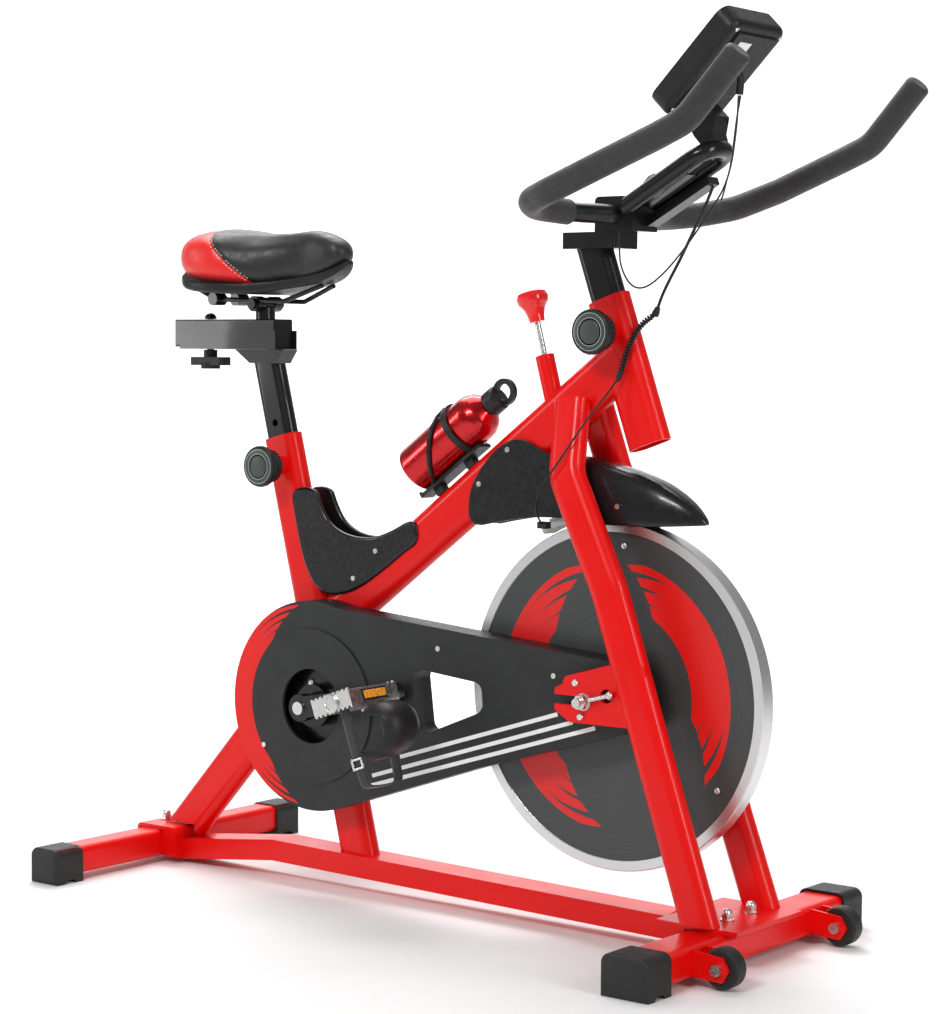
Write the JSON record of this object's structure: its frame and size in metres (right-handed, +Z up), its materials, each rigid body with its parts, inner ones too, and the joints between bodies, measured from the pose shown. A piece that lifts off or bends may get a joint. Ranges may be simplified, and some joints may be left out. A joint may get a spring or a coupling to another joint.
{
  "type": "indoor spin bike",
  "caption": "Indoor spin bike with a belt driven flywheel, felt brake, adjustable saddle and handlebar, console, toe cage pedals and a bottle.",
  "frame": {"origin": "bottom centre of the bike's bounding box, on the floor", "axes": "+X the way the rider faces, +Y the rider's left, +Z up"},
  "size_m": [1.1441, 0.512, 1.1728],
  "materials": {
    "red_paint": "gloss enamel",
    "black_paint": "satin enamel",
    "black_plastic": "fine moulded grain",
    "gloss_black": "glossy moulded",
    "zinc_steel": "zinc plated",
    "rubber": "matt",
    "cord": "satin",
    "flywheel_metal": "turned rim, painted sides",
    "aluminium": "cast and brushed",
    "saddle_vinyl": "soft vinyl, red rear and black front",
    "red_plastic": "glossy",
    "felt": "dense felt",
    "foam": "closed cell foam",
    "lens": "clear window over the display",
    "circuit_board": "board and display",
    "tyre": "hard rubber",
    "bottle_red": "anodised red"
  },
  "bodies": {
    "frame": {"main_tube": "red_paint", "seat_tube": "red_paint", "head_tube": "red_paint", "base_tube": "red_paint", "rear_strut": "red_paint", "fork_legs": "red_paint", "front_stabilizer": "red_paint", "rear_stabilizer": "red_paint", "stabilizer_caps": "black_plastic", "frame_bolts": "zinc_steel", "gusset_covers": "gloss_black", "fender": "gloss_black", "guard_outer": "black_plastic", "guard_inner": "black_plastic", "cover_screws": "zinc_steel", "bearings": "zinc_steel", "flywheel_axle": "zinc_steel", "axle_hardware": "zinc_steel", "bottle_cage": "black_plastic", "speed_sensor": "black_plastic", "drive_belt": "rubber", "sensor_wire": "cord", "curly_cord": "cord"},
    "flywheel": {"flywheel": "flywheel_metal", "flywheel_pulley": "zinc_steel"},
    "crank": {"crank_spindle": "zinc_steel", "crank_pulley": "black_paint", "crank_arms": "black_paint", "pedal_spindles": "zinc_steel"},
    "pedal_right": {"pedal_right": "aluminium", "toe_cage_right": "black_plastic"},
    "pedal_left": {"pedal_left": "aluminium", "toe_cage_left": "black_plastic"},
    "seat_post": {"seat_post": "black_paint"},
    "seat_slider": {"seat_slider": "black_paint"},
    "slider_knob": {"slider_knob": "black_plastic"},
    "saddle": {"saddle_cushion": "saddle_vinyl", "saddle_base": "black_plastic", "saddle_frame": "black_paint"},
    "seat_pin": {"seat_pin": "black_plastic"},
    "head_pin": {"head_pin": "black_plastic"},
    "brake_rod": {"brake_rod": "zinc_steel", "brake_pad": "felt"},
    "brake_knob": {"brake_knob": "red_plastic"},
    "handlebar": {"handlebar_post": "black_paint", "handlebar_bar": "black_paint", "grips": "foam", "console_front": "black_plastic", "console_back": "black_plastic", "console_lens": "lens", "console_board": "circuit_board", "console_plug": "cord", "sensor_cord": "cord", "pulse_wire_left": "cord", "pulse_wire_right": "cord"},
    "console_button": {"console_button": "red_plastic"},
    "roller_left": {"roller_left": "tyre"},
    "roller_right": {"roller_right": "tyre"},
    "bottle": {"bottle": "bottle_red"},
    "bottle_cap": {"bottle_cap": "black_plastic"}
  },
  "joints": [
    {"name": "crank_spin", "type": "hinge", "parent": "frame", "child": "crank", "pos_m": [-0.217, 0, 0.262], "axis": [0, 1, 0], "continuous": true},
    {"name": "flywheel_spin", "type": "hinge", "parent": "frame", "child": "flywheel", "pos_m": [0.257, 0, 0.314], "axis": [0, 1, 0], "continuous": true},
    {"name": "pedal_right_spin", "type": "hinge", "parent": "crank", "child": "pedal_right", "pos_m": [-0.05561, 0, 0.29631], "axis": [0, 1, 0], "continuous": true},
    {"name": "pedal_left_spin", "type": "hinge", "parent": "crank", "child": "pedal_left", "pos_m": [-0.37839, 0, 0.22769], "axis": [0, 1, 0], "continuous": true},
    {"name": "seat_height", "type": "slide", "parent": "frame", "child": "seat_post", "axis": [-0.2462, 0, 0.9692], "range_m": [-0.085, 0.1]},
    {"name": "seat_reach", "type": "slide", "parent": "seat_post", "child": "seat_slider", "axis": [1, 0, 0], "range_m": [-0.034, 0.026]},
    {"name": "slider_knob_turn", "type": "hinge", "parent": "seat_post", "child": "slider_knob", "pos_m": [-0.465, 0, 0.74], "axis": [0, 0, 1], "range_deg": [-180, 180]},
    {"name": "saddle_tilt", "type": "hinge", "parent": "seat_slider", "child": "saddle", "pos_m": [-0.357, 0, 0.819], "axis": [0, 1, 0], "range_deg": [-10, 10]},
    {"name": "seat_pin_pull", "type": "slide", "parent": "frame", "child": "seat_pin", "axis": [0, -1, 0], "range_m": [0, 0.012], "stiffness_N_per_m": 900},
    {"name": "head_pin_pull", "type": "slide", "parent": "frame", "child": "head_pin", "axis": [0, -1, 0], "range_m": [0, 0.012], "stiffness_N_per_m": 900},
    {"name": "handlebar_height", "type": "slide", "parent": "frame", "child": "handlebar", "axis": [-0.3344, 0, 0.9424], "range_m": [-0.05, 0.09], "deforming": ["curly_cord"]},
    {"name": "brake_press", "type": "slide", "parent": "frame", "child": "brake_rod", "axis": [0.268, 0, -0.9634], "range_m": [0, 0.006], "stiffness_N_per_m": 3000},
    {"name": "brake_knob_turn", "type": "hinge", "parent": "brake_rod", "child": "brake_knob", "pos_m": [0.123, 0, 0.7957], "axis": [-0.268, 0, 0.9634], "range_deg": [-720, 720]},
    {"name": "console_button_press", "type": "slide", "parent": "handlebar", "child": "console_button", "axis": [0.7071, 0, -0.7071], "range_m": [0, 0.0012], "stiffness_N_per_m": 800},
    {"name": "roller_left_spin", "type": "hinge", "parent": "frame", "child": "roller_left", "pos_m": [0.511, 0.14, 0.0272], "axis": [0, 1, 0], "continuous": true},
    {"name": "roller_right_spin", "type": "hinge", "parent": "frame", "child": "roller_right", "pos_m": [0.511, -0.14, 0.0272], "axis": [0, 1, 0], "continuous": true},
    {"name": "bottle_pull", "type": "slide", "parent": "frame", "child": "bottle", "axis": [0.806, 0, 0.592], "range_m": [0, 0.036]},
    {"name": "bottle_cap_turn", "type": "hinge", "parent": "bottle", "child": "bottle_cap", "pos_m": [-0.077, 0, 0.592], "axis": [0.806, 0, 0.592], "range_deg": [0, 720]}
  ],
  "couplings": [
    {"joint": "flywheel_spin", "follows": "crank_spin", "ratio": 3.5714}
  ]
}
